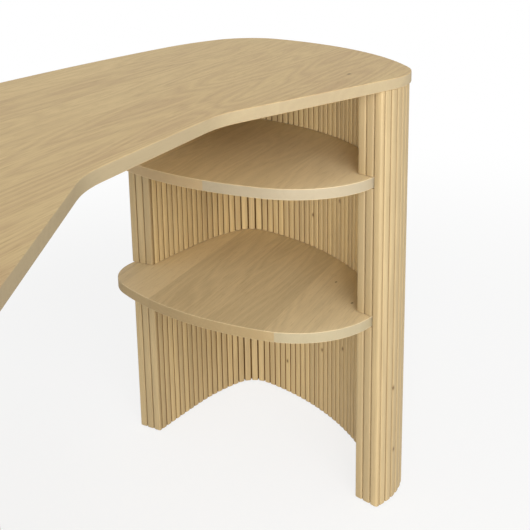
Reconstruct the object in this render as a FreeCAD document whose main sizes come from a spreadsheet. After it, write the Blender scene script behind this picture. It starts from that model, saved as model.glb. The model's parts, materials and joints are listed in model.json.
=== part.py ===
"""Kidney-shaped writing desk on two curved tambour pedestals with open shelves.

Each pedestal is a bent plywood wall, U-shaped in plan, built in three tiers with a shelf
clamped between each pair of tiers. Fixed tambour slats on canvas clad the wall inside and
out, three more slats close each of its two ends, and steel tie rods pull the whole stack
up against the desktop. Millimetres, +Z up, origin on the floor below the middle of the top.
"""
import FreeCAD
import Part
import math
import os

from FreeCAD import Vector

UP = Vector(0, 0, 1)
# Lengths closer than this, in millimetres, count as equal
SAME = 1e-4

# Driving sizes: alias, value in millimetres or degrees, meaning
SIZES = [
    ("desk_width", 1780, "overall width of the desktop"),
    ("desk_depth", 600, "from the front of the lobes to the middle of the back edge"),
    ("desk_height", 762, "floor to desktop"),
    ("top_thickness", 18.2, "desktop board"),
    ("edge_ease", 1.5, "rounding of the desktop's and shelves' edges"),
    ("back_radius", 3777, "bow of the back edge"),
    ("shoulder_radius", 477.7, "easy bend between the back edge and the outer corner"),
    ("shoulder_drop", 14.6, "how far the outer corner lies inside the bow of the back edge"),
    ("corner_radius", 99.9, "outer back corner of a lobe"),
    ("side_bow_radius", 620, "bowed outer end of a lobe"),
    ("nose_radius", 131.2, "rounded front of a lobe"),
    ("nose_inset", 341.3, "from the desk's end to the middle of the rounded front"),
    ("flank_angle", 22.6, "slope of the edge from the lobe back to the waist, in degrees"),
    ("waist_radius", 176, "hollow bend into the straight front edge"),
    ("recess_depth", 151.2, "from the front of the lobes back to the straight front edge"),
    ("top_overhang", 2.8, "desktop beyond the crowns of the outer slats"),
    ("core_thickness", 33, "bent plywood wall"),
    ("canvas_thickness", 1, "cloth that carries the slats"),
    ("slat_thickness", 8, "slat from the canvas to its crown"),
    ("slat_crown_angle", 6, "slope of a slat's shallow crown where its rounded edge starts, in degrees"),
    ("slat_edge_radius", 1.2, "rounded edge of a slat"),
    ("corner_slat_radius", 3, "rounded outer edge of the corner slat"),
    ("slat_pitch", 15.6, "spacing of the slats, fitted to a whole number of them"),
    ("slat_gap", 1.2, "groove between neighbouring slats on the outer face and the ends"),
    ("inner_slat_gap", 1.8, "groove between neighbouring slats on the hollow face"),
    ("slat_end_gap", 0.6, "shadow gap between the slats and a shelf or the desktop"),
    ("glue_line", 0.05, "glue under each slat"),
    ("back_run", 127, "length of wall along the back edge before its bend starts"),
    ("front_run", 16.2, "length of wall past the rounded front"),
    ("shelf_thickness", 18.6, "shelf board"),
    ("upper_shelf_drop", 161.3, "desktop down to the upper shelf"),
    ("shelf_spacing", 242.5, "upper shelf down to the lower shelf"),
    ("shelf_setback", 3.7, "shelf's back edge inside the crowns of the outer slats"),
    ("shelf_gap", 1.5, "shadow gap between a shelf's front end and the corner slat"),
    ("ear_run", 9.8, "from the wall's back end to the middle of the shelf's rounded ear"),
    ("ear_radius", 102, "shelf's rounded back corner, the ear beside the wall's back end"),
    ("shelf_side_radius", 563.7, "slightly bowed side of a shelf, facing the knee space"),
    ("shelf_side_middle", 401.8, "middle of that bow, from the middle of the desk's back edge"),
    ("shelf_front_radius", 148.8, "rounded front of a shelf"),
    ("glide_projection", 3, "gap under the wall, held by the glides"),
    ("glide_diameter", 24, "foot of a glide"),
    ("glide_stem_diameter", 8, "stem of a glide in the wall"),
    ("glide_stem_length", 14, "length of that stem"),
    ("dowel_diameter", 10, "beech dowel through a shelf"),
    ("dowel_bite", 20, "length of dowel in the tier above or below"),
    ("dowel_end_room", 1, "glue room at the end of a dowel hole"),
    ("rod_diameter", 8, "threaded tie rod"),
    ("rod_clearance", 0.5, "room round a tie rod"),
    ("rod_bite", 10, "length of tie rod in its insert"),
    ("insert_diameter", 12, "threaded insert in the desktop"),
    ("insert_length", 12, "length of that insert"),
    ("washer_diameter", 20, "washer under a rod nut"),
    ("washer_thickness", 2, "thickness of that washer"),
    ("nut_across_flats", 13, "rod nut"),
    ("nut_height", 6.5, "height of that nut"),
    ("rod_tail", 2, "length of tie rod below its nut"),
    ("nut_recess", 12, "depth of the counterbore below the wall for nut and washer"),
]

# Fasteners stand on stations along the middle of the wall: dowels and glides on the even
# ones, tie rods on the odd ones
STATION_COUNT = 7
END_SLAT_COUNT = 3
NUT_SIDES = 6
TIERS = ("lower", "middle", "upper")

doc = FreeCAD.newDocument("kidney_desk")
sheet = doc.addObject("Spreadsheet::Sheet", "Sizes")
for row, (alias, value, meaning) in enumerate(SIZES, start=1):
    sheet.set(f"A{row}", alias)
    sheet.set(f"B{row}", str(value))
    sheet.set(f"C{row}", meaning)
    sheet.setAlias(f"B{row}", alias)
doc.recompute()


def size(alias):
    """Number in the sheet's cell with this alias."""
    return float(sheet.get(alias))


def direction(angle):
    """Unit vector at an angle in the floor plane."""
    return Vector(math.cos(angle), math.sin(angle), 0)


def angle_of(vector):
    """Angle of a vector in the floor plane."""
    return math.atan2(vector.y, vector.x)


def centre_between(first, reach_first, second, reach_second, side):
    """Point at two given distances from two points, left (1) or right (-1) of the line between them."""
    across = second - first
    span = across.Length
    along = (reach_first ** 2 - reach_second ** 2 + span ** 2) / (2 * span)
    off = math.sqrt(reach_first ** 2 - along ** 2)
    unit = across / span
    return first + unit * along + Vector(-unit.y, unit.x, 0) * side * off


class DeskOutline:
    """Right half of the desktop's edge: tangent arcs run clockwise from the back to the waist."""

    def __init__(self):
        half_width = size("desk_width") / 2
        self.front_y = -size("desk_depth") / 2
        back_radius = size("back_radius")
        shoulder_radius = size("shoulder_radius")
        corner_radius = size("corner_radius")
        side_radius = size("side_bow_radius")
        nose_radius = size("nose_radius")
        self.waist_radius = size("waist_radius")
        self.waist_y = self.front_y + size("recess_depth")

        self.back_centre = Vector(0, -self.front_y - back_radius, 0)
        corner_x = half_width - corner_radius
        corner_reach = back_radius - corner_radius - size("shoulder_drop")
        corner_y = self.back_centre.y + math.sqrt(corner_reach ** 2 - corner_x ** 2)
        corner = Vector(corner_x, corner_y, 0)
        shoulder = centre_between(
            self.back_centre, back_radius - shoulder_radius,
            corner, shoulder_radius - corner_radius, 1,
        )
        nose = Vector(half_width - size("nose_inset"), self.front_y + nose_radius, 0)
        side = centre_between(corner, side_radius - corner_radius, nose, side_radius - nose_radius, -1)

        flank_slope = math.radians(size("flank_angle"))
        self.flank = Vector(-math.cos(flank_slope), math.sin(flank_slope), 0)
        self.flank_normal = direction(-math.pi / 2 - flank_slope)
        joints = [
            angle_of(shoulder - self.back_centre),
            angle_of(corner - shoulder),
            angle_of(corner - side),
            angle_of(nose - side),
            -math.pi / 2 - flank_slope,
        ]
        self.back_joint = joints[0]
        self.back_radius = back_radius
        # Arcs after the back edge: centre, radius, first angle, last angle
        self.arcs = [
            (shoulder, shoulder_radius, joints[0], joints[1]),
            (corner, corner_radius, joints[1], joints[2]),
            (side, side_radius, joints[2], joints[3]),
            (nose, nose_radius, joints[3], joints[4]),
        ]

        # The waist arc is tangent to the flank and to the straight front edge
        nose_end = nose + self.flank_normal * nose_radius
        waist_start_y = self.waist_y - self.waist_radius * (1 - math.cos(flank_slope))
        run = (waist_start_y - nose_end.y) / math.sin(flank_slope)
        self.flank_start = nose_end
        self.flank_end = nose_end + self.flank * run
        self.waist_centre = self.flank_end + self.flank_normal * self.waist_radius
        self.waist_first = angle_of(-self.flank_normal)
        # It ends on the straight front edge, or in the desk's middle where the lobes are that close
        self.waist_end_x = max(self.waist_centre.x, 0)
        self.waist_last = math.acos((self.waist_end_x - self.waist_centre.x) / self.waist_radius)


class WallLine:
    """Line along the wall at one depth inside the desktop's edge, from its back end to its front end."""

    def __init__(self, outline, depth):
        end_angle = outline.back_joint + size("back_run") / outline.back_radius
        back = (outline.back_centre, outline.back_radius, end_angle, outline.back_joint)
        self.arcs = [(c, r - depth, a, b) for c, r, a, b in [back] + outline.arcs]
        last_centre, last_radius, _, last_angle = self.arcs[-1]
        self.flank_start = last_centre + direction(last_angle) * last_radius
        self.flank_end = self.flank_start + outline.flank * size("front_run")
        self.flank_normal = outline.flank_normal
        self.back_normal = direction(end_angle)
        first_centre, first_radius, first_angle, _ = self.arcs[0]
        self.start = first_centre + direction(first_angle) * first_radius
        self.end = self.flank_end
        self.length = sum(r * (a - b) for _, r, a, b in self.arcs) + size("front_run")

    def at(self, distance):
        """Point, outward normal and radius of the bend at a distance from the back end."""
        for centre, radius, first, last in self.arcs:
            run = radius * (first - last)
            if distance <= run:
                normal = direction(first - distance / radius)
                return centre + normal * radius, normal, radius
            distance -= run
        unit = (self.flank_end - self.flank_start).normalize()
        return self.flank_start + unit * distance, self.flank_normal, math.inf

    def edges(self):
        """Sketch curves of the line."""
        curves = [arc(c, r, a, b) for c, r, a, b in self.arcs]
        return curves + [Part.LineSegment(self.flank_start, self.flank_end)]


def arc(centre, radius, first, last):
    """Arc between two angles, in either order."""
    return Part.ArcOfCircle(Part.Circle(centre, UP, radius), min(first, last), max(first, last))


def flipped(point, side):
    """Point on the right (1) or mirrored to the left (-1) of the desk's middle."""
    return Vector(side * point.x, point.y, 0)


def turned(angle, side):
    """Angle on the right (1) or mirrored to the left (-1)."""
    return angle if side > 0 else math.pi - angle


def circle(point, diameter):
    """Full circle for a sketch."""
    return Part.Circle(point, UP, diameter / 2)


def add_sketch(body, name, curves, height):
    """Sketch of curves in a body's floor plane, lifted by an expression."""
    sketch = body.newObject("Sketcher::SketchObject", name)
    plane = next(f for f in body.Origin.OriginFeatures if f.Role == "XY_Plane")
    sketch.AttachmentSupport = [(plane, "")]
    sketch.MapMode = "FlatFace"
    sketch.setExpression("AttachmentOffset.Base.z", height)
    sketch.addGeometry(curves, False)
    return sketch


def add_board(label, curves, height, length):
    """Body padded upwards from a sketch; height and length are expressions."""
    body = doc.addObject("PartDesign::Body", label)
    body.Label = label
    pad = body.newObject("PartDesign::Pad", label + "_pad")
    pad.Profile = add_sketch(body, label + "_outline", curves, height)
    pad.setExpression("Length", length)
    doc.recompute()
    return body


def add_bores(body, name, points, diameter, height, depth, upward):
    """Blind bores into a body from a level, upwards or downwards; height and depth are expressions."""
    before = body.Shape.Volume
    pocket = body.newObject("PartDesign::Pocket", f"{body.Label}_{name}")
    curves = [circle(point, diameter) for point in points]
    pocket.Profile = add_sketch(body, f"{body.Label}_{name}_places", curves, height)
    pocket.setExpression("Length", depth)
    pocket.Reversed = upward
    doc.recompute()
    if body.Shape.Volume >= before:
        raise RuntimeError(f"{name} cut nothing from {body.Label}")


def ease_edges(body, chosen):
    """Rounds the edges of a body's tip for which chosen(edge) is true."""
    tip = body.Tip
    names = [f"Edge{i}" for i, edge in enumerate(tip.Shape.Edges, start=1) if chosen(edge)]
    fillet = body.newObject("PartDesign::Fillet", body.Label + "_eased")
    fillet.Base = (tip, names)
    fillet.setExpression("Radius", "Sizes.edge_ease")
    doc.recompute()


def is_level(edge):
    """True for an edge that lies flat."""
    return edge.BoundBox.ZLength < SAME


def add_group(label, solids):
    """Node that holds a group of separate solids."""
    group = doc.addObject("Part::Feature", label)
    group.Label = label
    group.Shape = Part.makeCompound(solids)
    return group


def slat_solid(seat, out, along, width, bottom, top, first_round=None):
    """Slat with a shallow crown between two rounded edges.

    Seat is the middle of its back, out its crown's direction, along its width's direction.
    The edge at the start of along may have another rounding than the usual one.
    """
    tilt = math.radians(size("slat_crown_angle"))
    last_round = size("slat_edge_radius")
    first_round = first_round or last_round
    height = size("slat_thickness") - size("glue_line")
    crown_first = -width / 2 + first_round * (1 - math.sin(tilt))
    crown_last = width / 2 - last_round * (1 - math.sin(tilt))
    crown_end = height - crown_rise(crown_last - crown_first)

    def at(place, level):
        return seat + along * place + out * level

    def rounded(side, radius):
        """Rounded edge from the upright side to the crown: its two ends and its middle."""
        centre_place = side * (width / 2 - radius)
        centre_level = crown_end - radius * math.cos(tilt)
        angles = (0, (math.pi / 2 - tilt) / 2, math.pi / 2 - tilt)
        return [
            at(centre_place + side * radius * math.cos(a), centre_level + radius * math.sin(a))
            for a in angles
        ]

    first = rounded(-1, first_round)
    last = rounded(1, last_round)
    apex = at((crown_first + crown_last) / 2, height)
    foot_first = at(-width / 2, 0)
    foot_last = at(width / 2, 0)
    profile = Part.Wire([
        Part.LineSegment(foot_first, foot_last).toShape(),
        Part.LineSegment(foot_last, last[0]).toShape(),
        Part.Arc(*last).toShape(),
        Part.Arc(last[2], apex, first[2]).toShape(),
        Part.Arc(*first[::-1]).toShape(),
        Part.LineSegment(first[0], foot_first).toShape(),
    ])
    profile.translate(UP * bottom)
    return Part.Face(profile).extrude(UP * (top - bottom))


def crown_rise(chord):
    """Height of a slat's crown over its chord."""
    return chord / 2 * math.tan(math.radians(size("slat_crown_angle")) / 2)


def slat_side_height(width):
    """Height of a slat's upright sides."""
    tilt = math.radians(size("slat_crown_angle"))
    rounding = size("slat_edge_radius")
    chord = width - 2 * rounding * (1 - math.sin(tilt))
    return size("slat_thickness") - crown_rise(chord) - rounding * math.cos(tilt)


def slat_row(line, gap):
    """Places of a row of slats along a line and their width, with a whole gap at both of its ends."""
    count = round(line.length / size("slat_pitch"))
    pitch = (line.length - gap) / count
    return [gap / 2 + pitch * (k + 0.5) for k in range(count)], pitch - gap


# Heights of the tiers and of the boards between them
outline = DeskOutline()
wall_bottom = size("glide_projection")
top_underside = size("desk_height") - size("top_thickness")
upper_shelf_top = size("desk_height") - size("upper_shelf_drop")
shelf_tops = (upper_shelf_top - size("shelf_spacing"), upper_shelf_top)
tier_bottoms = (wall_bottom,) + shelf_tops
tier_tops = tuple(level - size("shelf_thickness") for level in shelf_tops) + (top_underside,)
SHELF_TOP = {
    "lower": "Sizes.desk_height - Sizes.upper_shelf_drop - Sizes.shelf_spacing",
    "upper": "Sizes.desk_height - Sizes.upper_shelf_drop",
}
# Base and height of each tier, as expressions
TIER_HEIGHT = {
    "lower": ("Sizes.glide_projection",
              f"{SHELF_TOP['lower']} - Sizes.shelf_thickness - Sizes.glide_projection"),
    "middle": (SHELF_TOP["lower"], "Sizes.shelf_spacing - Sizes.shelf_thickness"),
    "upper": (SHELF_TOP["upper"], "Sizes.upper_shelf_drop - Sizes.top_thickness"),
}
TOP_UNDERSIDE = "Sizes.desk_height - Sizes.top_thickness"

# Layers of the wall, as depths inside the desktop's edge
outer_crown = size("top_overhang")
outer_canvas = outer_crown + size("slat_thickness")
core_outer = outer_canvas + size("canvas_thickness")
core_inner = core_outer + size("core_thickness")
inner_canvas = core_inner + size("canvas_thickness")
inner_crown = inner_canvas + size("slat_thickness")
end_slat_pitch = (inner_crown - outer_crown) / END_SLAT_COUNT

middle_line = WallLine(outline, (core_outer + core_inner) / 2)
stations = [
    middle_line.at(middle_line.length * (k + 0.5) / STATION_COUNT)[0] for k in range(STATION_COUNT)
]
dowel_places = stations[0::2]
rod_places = stations[1::2]
rod_hole = size("rod_diameter") + 2 * size("rod_clearance")


def desktop_curves():
    """Whole edge of the desktop."""
    middle = math.pi / 2
    bends = [(outline.back_centre, outline.back_radius, middle, outline.back_joint)] + outline.arcs
    bends.append((outline.waist_centre, outline.waist_radius, outline.waist_first, outline.waist_last))
    waist = outline.waist_centre + direction(outline.waist_last) * outline.waist_radius
    curves = []
    if outline.waist_end_x > SAME:
        curves.append(Part.LineSegment(waist, flipped(waist, -1)))
    for side in (1, -1):
        for centre, radius, first, last in bends:
            curves.append(arc(flipped(centre, side), radius, turned(first, side), turned(last, side)))
        curves.append(Part.LineSegment(
            flipped(outline.flank_start, side), flipped(outline.flank_end, side),
        ))
    return curves


def band_curves(depth_out, depth_in):
    """Closed strip of the wall between two depths."""
    outer = WallLine(outline, depth_out)
    inner = WallLine(outline, depth_in)
    ends = [Part.LineSegment(outer.start, inner.start), Part.LineSegment(outer.end, inner.end)]
    return outer.edges() + inner.edges() + ends


def shelf_curves():
    """Edge of a shelf: into the wall at the back, round its ear, along the knee space to the front end."""
    seat = WallLine(outline, core_outer)
    back_depth = outer_crown + size("shelf_setback")
    back_radius = outline.back_radius - back_depth
    end_angle = angle_of(seat.back_normal)
    ear_angle = end_angle + (size("slat_thickness") + size("ear_run")) / outline.back_radius
    ear_radius = size("ear_radius")
    side_radius = size("shelf_side_radius")
    front_radius = size("shelf_front_radius")

    step = outline.back_centre + direction(end_angle) * back_radius
    ear = outline.back_centre + direction(ear_angle) * (back_radius - ear_radius)
    side_y = -outline.front_y - size("shelf_side_middle")
    side_x = ear.x + math.sqrt((side_radius - ear_radius) ** 2 - (side_y - ear.y) ** 2)
    side = Vector(side_x, side_y, 0)

    tip_depth = outer_crown + end_slat_pitch + size("shelf_gap")
    tip_seat = WallLine(outline, tip_depth).end
    tip = tip_seat + outline.flank * size("slat_thickness")
    front = centre_between(side, side_radius - front_radius, tip, front_radius, -1)

    full_turn = 2 * math.pi
    ear_to_side = angle_of(ear - side) % full_turn
    side_to_front = angle_of(front - side) % full_turn
    front_to_tip = angle_of(tip - front) % full_turn
    rim = [
        arc(outline.back_centre, back_radius, end_angle, ear_angle),
        arc(ear, ear_radius, ear_angle, ear_to_side),
        arc(side, side_radius, ear_to_side, side_to_front),
        arc(front, front_radius, side_to_front, front_to_tip),
        Part.LineSegment(tip, tip_seat),
    ]
    hidden = [
        Part.LineSegment(tip_seat, seat.end),
        Part.LineSegment(seat.start, step),
    ]
    return rim, hidden + seat.edges()


def add_desktop():
    """Desktop board with blind bores for the inserts of both pedestals."""
    body = add_board("desktop", desktop_curves(), TOP_UNDERSIDE, "Sizes.top_thickness")
    ease_edges(body, is_level)
    both = [flipped(point, side) for side in (1, -1) for point in rod_places]
    add_bores(
        body, "insert_bores", both, size("insert_diameter"),
        TOP_UNDERSIDE, "Sizes.insert_length", True,
    )
    return body


def add_core(tier):
    """One tier of the bent plywood wall, bored for rods, dowels, nuts and glides."""
    label = f"right_{tier}_core"
    rods = [circle(point, rod_hole) for point in rod_places]
    base, height = TIER_HEIGHT[tier]
    body = add_board(label, band_curves(core_outer, core_inner) + rods, base, height)
    dowel_depth = "Sizes.dowel_bite + Sizes.dowel_end_room"
    if tier != "upper":
        add_bores(
            body, "upper_dowel_bores", dowel_places, size("dowel_diameter"),
            f"{base} + {height}", dowel_depth, False,
        )
    if tier != "lower":
        add_bores(
            body, "lower_dowel_bores", dowel_places, size("dowel_diameter"), base, dowel_depth, True,
        )
    else:
        add_bores(
            body, "nut_recesses", rod_places, size("washer_diameter") + 2 * size("rod_clearance"),
            base, "Sizes.nut_recess", True,
        )
        add_bores(
            body, "glide_bores", dowel_places, size("glide_stem_diameter"),
            base, "Sizes.glide_stem_length", True,
        )
    return body


def add_shelf(tier):
    """Shelf board with an eased rim, bored for dowels and rods."""
    rim, hidden = shelf_curves()
    bores = [circle(point, size("dowel_diameter")) for point in dowel_places]
    bores += [circle(point, rod_hole) for point in rod_places]
    body = add_board(
        f"right_{tier}_shelf", rim + hidden + bores,
        f"{SHELF_TOP[tier]} - Sizes.shelf_thickness", "Sizes.shelf_thickness",
    )
    rim_shape = Part.makeCompound([curve.toShape() for curve in rim])

    def on_rim(edge):
        middle = edge.valueAt((edge.FirstParameter + edge.LastParameter) / 2)
        foot = Part.Vertex(Vector(middle.x, middle.y, 0))
        return is_level(edge) and foot.distToShape(rim_shape)[0] < SAME

    ease_edges(body, on_rim)
    return body


def add_inner_slats(tier_index):
    """Slats of one tier on the hollow face, spaced at the height of their sides, where they crowd."""
    gap = size("inner_slat_gap")
    side_height = slat_side_height(size("slat_pitch") - gap)
    line = WallLine(outline, inner_canvas + side_height)
    places, width = slat_row(line, gap)
    bottom = tier_bottoms[tier_index] + (size("slat_end_gap") if tier_index else 0)
    top = tier_tops[tier_index] - size("slat_end_gap")
    solids = []
    for place in places:
        point, normal, _ = line.at(place)
        # A flat back on the hollow canvas rests on its two edges
        tightest = min(line.at(place + offset)[2] for offset in (-width / 2, 0, width / 2))
        hollow = width ** 2 / (8 * (tightest + side_height))
        seat = point + normal * (side_height - size("glue_line") - hollow)
        along = Vector(-normal.y, normal.x, 0)
        solids.append(slat_solid(seat, normal * -1, along, width, bottom, top))
    return add_group(f"right_{TIERS[tier_index]}_inner_slats", solids)


def add_outer_slats():
    """Full-height slats on the outer face."""
    line = WallLine(outline, outer_canvas)
    places, width = slat_row(line, size("slat_gap"))
    solids = []
    for place in places:
        point, normal, _ = line.at(place)
        seat = point + normal * size("glue_line")
        along = Vector(-normal.y, normal.x, 0)
        top = top_underside - size("slat_end_gap")
        solids.append(slat_solid(seat, normal, along, width, wall_bottom, top))
    return add_group("right_outer_slats", solids)


def end_slat(at_front, place, bottom, top, first_round=None):
    """Slat on an end of the core; place 0 is the outermost, whose outer edge may be rounder."""
    line = WallLine(outline, outer_crown + end_slat_pitch * (place + 0.5))
    if at_front:
        seat, out, inward = line.end, outline.flank, outline.flank_normal * -1
    else:
        normal = line.back_normal
        seat, out, inward = line.start, Vector(-normal.y, normal.x, 0), normal * -1
    seat = seat + out * size("glue_line")
    width = end_slat_pitch - size("slat_gap")
    return slat_solid(seat, out, inward, width, bottom, top, first_round)


def add_end_slats(at_front):
    """Slats on one end of the wall, cut at each shelf; the front end's corner slat is apart."""
    first = 1 if at_front else 0
    solids = []
    for tier_index, (bottom, top) in enumerate(zip(tier_bottoms, tier_tops)):
        lift = size("slat_end_gap") if tier_index else 0
        for place in range(first, END_SLAT_COUNT):
            solids.append(end_slat(at_front, place, bottom + lift, top - size("slat_end_gap")))
    end_name = "front" if at_front else "back"
    return add_group(f"right_{end_name}_end_slats", solids)


def add_corner_slat():
    """Full-height slat on the outer corner of the front end."""
    top = top_underside - size("slat_end_gap")
    solid = end_slat(True, 0, wall_bottom, top, size("corner_slat_radius"))
    return add_group("right_corner_slat", [solid])


def add_canvases():
    """Canvas behind the inner slats of each tier and behind the outer slats."""
    for tier in TIERS:
        base, height = TIER_HEIGHT[tier]
        yield add_board(
            f"right_{tier}_inner_canvas", band_curves(core_inner, inner_canvas), base, height,
        )
    yield add_board(
        "right_outer_canvas", band_curves(outer_canvas, core_outer),
        "Sizes.glide_projection", f"{TOP_UNDERSIDE} - Sizes.glide_projection",
    )


def add_pins(label, places, diameter, bottom, length):
    """Group of equal upright pins; diameter, bottom and length are expressions."""
    pins = []
    for k, point in enumerate(places):
        pin = doc.addObject("Part::Cylinder", f"{label}_{k}")
        pin.setExpression("Radius", f"({diameter}) / 2")
        pin.setExpression("Height", length)
        pin.Placement.Base = point
        pin.setExpression("Placement.Base.z", bottom)
        pins.append(pin)
    return pins


def add_compound(label, parts):
    """Node that groups document objects as separate solids."""
    group = doc.addObject("Part::Compound", label)
    group.Label = label
    group.Links = parts
    return group


def add_dowels():
    """Beech dowels that pass through each shelf into the tiers above and below."""
    pins = []
    for tier in ("lower", "upper"):
        pins += add_pins(
            f"dowel_{tier}", dowel_places, "Sizes.dowel_diameter",
            f"{SHELF_TOP[tier]} - Sizes.shelf_thickness - Sizes.dowel_bite",
            "Sizes.shelf_thickness + 2 * Sizes.dowel_bite",
        )
    return add_compound("right_dowels", pins)


WASHER_BOTTOM = "Sizes.glide_projection + Sizes.nut_recess - Sizes.washer_thickness"
ROD_BOTTOM = f"{WASHER_BOTTOM} - Sizes.nut_height - Sizes.rod_tail"


def add_tie_rods():
    """Steel rods from below the nuts up into the desktop's inserts."""
    length = f"{TOP_UNDERSIDE} + Sizes.rod_bite - ({ROD_BOTTOM})"
    return add_compound(
        "right_tie_rods", add_pins("rod", rod_places, "Sizes.rod_diameter", ROD_BOTTOM, length),
    )


def add_rings(label, places, blanks, bottom, length):
    """Group of blanks, each bored to the rod's diameter."""
    bores = add_pins(f"{label}_bore", places, "Sizes.rod_diameter", bottom, length)
    rings = []
    for k, (blank, bore) in enumerate(zip(blanks, bores)):
        ring = doc.addObject("Part::Cut", f"{label}_{k}")
        ring.Base = blank
        ring.Tool = bore
        rings.append(ring)
    return add_compound(label, rings)


def add_washers():
    """Steel washers at the top of the nut recesses."""
    blanks = add_pins(
        "washer_blank", rod_places, "Sizes.washer_diameter", WASHER_BOTTOM, "Sizes.washer_thickness",
    )
    return add_rings("right_rod_washers", rod_places, blanks, WASHER_BOTTOM, "Sizes.washer_thickness")


def add_nuts():
    """Hexagon nuts under the washers."""
    bottom = f"{WASHER_BOTTOM} - Sizes.nut_height"
    blanks = []
    for k, point in enumerate(rod_places):
        blank = doc.addObject("Part::Prism", f"nut_blank_{k}")
        blank.Polygon = NUT_SIDES
        blank.setExpression("Circumradius", "Sizes.nut_across_flats / sqrt(3)")
        blank.setExpression("Height", "Sizes.nut_height")
        blank.Placement.Base = point
        blank.setExpression("Placement.Base.z", bottom)
        blanks.append(blank)
    return add_rings("right_rod_nuts", rod_places, blanks, bottom, "Sizes.nut_height")


def add_inserts():
    """Threaded steel inserts in the desktop's underside."""
    blanks = add_pins(
        "insert_blank", rod_places, "Sizes.insert_diameter", TOP_UNDERSIDE, "Sizes.insert_length",
    )
    return add_rings("right_inserts", rod_places, blanks, TOP_UNDERSIDE, "Sizes.insert_length")


def add_glides():
    """Nylon glides: a foot under the wall with a stem pressed into it."""
    feet = add_pins("glide_foot", dowel_places, "Sizes.glide_diameter", "0", "Sizes.glide_projection")
    stems = add_pins(
        "glide_stem", dowel_places, "Sizes.glide_stem_diameter",
        "Sizes.glide_projection", "Sizes.glide_stem_length",
    )
    glides = []
    for k, (foot, stem) in enumerate(zip(feet, stems)):
        glide = doc.addObject("Part::Fuse", f"glide_{k}")
        glide.Base = foot
        glide.Tool = stem
        glides.append(glide)
    return add_compound("right_glides", glides)


def add_left_copy(right):
    """Mirror image of a right-hand piece, on the left pedestal."""
    label = right.Label.replace("right_", "left_", 1)
    copy = doc.addObject("Part::Mirroring", label)
    copy.Label = label
    copy.Source = right
    copy.Base = Vector(0, 0, 0)
    copy.Normal = Vector(1, 0, 0)
    return copy


right_pieces = [add_core(tier) for tier in TIERS]
right_pieces += [add_shelf(tier) for tier in ("lower", "upper")]
right_pieces += [add_inner_slats(index) for index in range(len(TIERS))]
right_pieces += [add_outer_slats(), add_corner_slat(), add_end_slats(True), add_end_slats(False)]
right_pieces += list(add_canvases())
right_pieces += [add_dowels(), add_tie_rods(), add_washers(), add_nuts(), add_inserts(), add_glides()]
pieces = [add_desktop()] + right_pieces + [add_left_copy(piece) for piece in right_pieces]
doc.recompute()

for item in doc.Objects:
    if "Invalid" in item.State or "Error" in item.State:
        raise RuntimeError(f"{item.Label} failed: {item.State}")
for piece in pieces:
    if piece.Shape.isNull() or not piece.Shape.isValid():
        raise RuntimeError(f"{piece.Label} has no valid shape")

os.makedirs("parts", exist_ok=True)
for piece in pieces:
    piece.Shape.exportStep(f"parts/{piece.Label}.step")
    print(piece.Label, len(piece.Shape.Solids), "solids", round(piece.Shape.Volume / 1000), "cm3")
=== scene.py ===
"""Kidney-shaped oak desk on tambour pedestals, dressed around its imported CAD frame.

Boards are merged copies of their CAD solids, and slats are copies with rounder edges. Every plank and
every slat carries its own tone and its own piece of oak grain, and a few small knots lie where the
photograph has them.
"""
from __future__ import annotations

import json
import logging
import math
import random
from dataclasses import dataclass, field, replace
from enum import Enum
from typing import Any

import bmesh
import bpy
from mathutils import Matrix, Vector
from mathutils.kdtree import KDTree

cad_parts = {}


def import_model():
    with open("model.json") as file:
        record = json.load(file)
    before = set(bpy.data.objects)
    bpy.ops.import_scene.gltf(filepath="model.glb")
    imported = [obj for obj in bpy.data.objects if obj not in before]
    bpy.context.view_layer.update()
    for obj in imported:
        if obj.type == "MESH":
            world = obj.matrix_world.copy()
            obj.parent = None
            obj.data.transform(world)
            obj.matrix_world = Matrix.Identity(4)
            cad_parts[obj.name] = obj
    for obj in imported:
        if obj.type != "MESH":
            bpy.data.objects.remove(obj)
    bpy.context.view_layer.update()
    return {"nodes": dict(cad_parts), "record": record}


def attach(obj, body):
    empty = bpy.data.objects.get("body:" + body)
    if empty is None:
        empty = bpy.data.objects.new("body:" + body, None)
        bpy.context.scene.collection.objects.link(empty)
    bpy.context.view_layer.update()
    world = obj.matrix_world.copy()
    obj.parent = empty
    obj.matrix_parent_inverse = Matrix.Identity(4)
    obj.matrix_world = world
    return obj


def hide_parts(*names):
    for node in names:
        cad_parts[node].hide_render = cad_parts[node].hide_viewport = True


LOG = logging.getLogger("desk")
MM = 0.001
UP = Vector((0.0, 0.0, 1.0))

# The photograph's side in pixels, and the camera's sensor in millimetres
IMAGE_SIDE = 530
SENSOR_WIDTH = 36.0

# Attributes that the pieces bring to their finish
SLAT_TONE = "slat_tone"
SLAT_SHIFT = "slat_shift"
# Painted shade in the slats' grooves and at their ends
PAINTED_GROOVE_SHADE = "groove_share"
# Painted shade on the boards' narrow sides
PAINTED_SIDE_SHADE = "edge_share"

# Corners nearer than this are one, and faces that meet at less than this angle are one flat face
MERGE_DISTANCE = 0.005 * MM
FLAT_ANGLE = math.radians(0.5)
# An edge is level if its ends differ in height by less than this
LEVEL_TOLERANCE = 0.1 * MM
# Digits to which places are rounded, in metres, so that they sort alike in each run
SORT_DIGITS = 5

Colour = tuple[float, float, float, float]
Socket = bpy.types.NodeSocket
Tree = bpy.types.NodeTree


def linear(hex_colour: str) -> Colour:
    """Turns an sRGB hex colour into linear light.

    Args:
        hex_colour: six hexadecimal digits.

    Returns:
        Red, green, blue and an alpha of one.
    """
    parts = [int(hex_colour[i:i + 2], 16) / 255 for i in (0, 2, 4)]
    low, slope, shift, power = 0.04045, 12.92, 0.055, 2.4
    red, green, blue = (
        c / slope if c <= low else ((c + shift) / (1 + shift)) ** power for c in parts
    )
    return red, green, blue, 1.0


def grey(value: float) -> Colour:
    """Grey of one value, with full alpha."""
    return value, value, value, 1.0


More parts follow.
